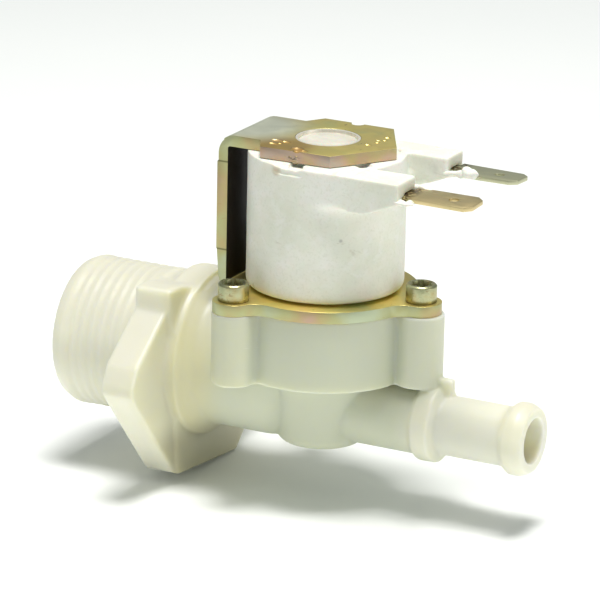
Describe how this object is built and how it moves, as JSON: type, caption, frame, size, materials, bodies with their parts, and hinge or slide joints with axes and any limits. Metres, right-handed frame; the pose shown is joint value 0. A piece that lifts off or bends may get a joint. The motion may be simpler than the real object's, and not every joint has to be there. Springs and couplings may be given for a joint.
{
  "type": "solenoid valve",
  "caption": "Single solenoid water-inlet valve: threaded inlet with mounting flange, pilot diaphragm under a yoked coil with tab terminals, hose spigot outlet.",
  "frame": {"origin": "centre of the inlet thread's mouth, on the inlet axis", "axes": "+X along the inlet axis from inlet to outlet, +Z along the coil's axis, up; Y across the valve"},
  "size_m": [0.0867, 0.0508, 0.0633],
  "materials": {
    "body_nylon": "translucent cream nylon",
    "jacket_resin": "matt white moulding compound",
    "bobbin_resin": "natural glass-filled polyamide",
    "tube_resin": "natural polyamide",
    "yoke_zinc": "yellow-passivated zinc plate on steel",
    "screw_zinc": "yellow-passivated zinc plate on steel",
    "sleeve_steel": "bright steel",
    "plunger_steel": "ground stainless steel",
    "spring_steel": "drawn stainless wire",
    "tab_brass": "tin-washed brass",
    "copper_wire": "enamelled copper wire",
    "tape_film": "yellow polyester film",
    "black_rubber": "black rubber",
    "strainer_resin": "natural polyamide",
    "screen_mesh": "woven polyester mesh"
  },
  "bodies": {
    "valve": {"valve_body": "body_nylon", "yoke": "yoke_zinc", "coil_case": "jacket_resin", "terminal_near": "tab_brass", "terminal_far": "tab_brass", "screw_outlet": "screw_zinc", "screw_near": "screw_zinc", "screw_far": "screw_zinc", "upper_flux_sleeve": "sleeve_steel", "lower_flux_sleeve": "sleeve_steel", "guide_tube": "tube_resin", "coil_bobbin": "bobbin_resin", "coil_winding": "copper_wire", "winding_tape": "tape_film", "lead_near": "copper_wire", "lead_far": "copper_wire", "diaphragm": "black_rubber", "strainer_frame": "strainer_resin", "strainer_screen": "screen_mesh", "regulator_carrier": "strainer_resin", "regulator_washer": "black_rubber", "plunger_spring": "spring_steel"},
    "armature": {"plunger": "plunger_steel", "plunger_tip": "black_rubber"},
    "diaphragm_centre": {"diaphragm_insert": "bobbin_resin"}
  },
  "joints": [
    {"name": "plunger_lift", "type": "slide", "parent": "valve", "child": "armature", "axis": [0, 0, 1], "range_m": [0, 0.0035], "stiffness_N_per_m": 120, "springref_m": -0.004, "deforming": ["plunger_spring"]},
    {"name": "diaphragm_lift", "type": "slide", "parent": "valve", "child": "diaphragm_centre", "axis": [0, 0, 1], "range_m": [0, 0.0021], "deforming": ["diaphragm"]}
  ],
  "couplings": [
    {"joint": "diaphragm_lift", "follows": "plunger_lift", "ratio": 0.6}
  ]
}
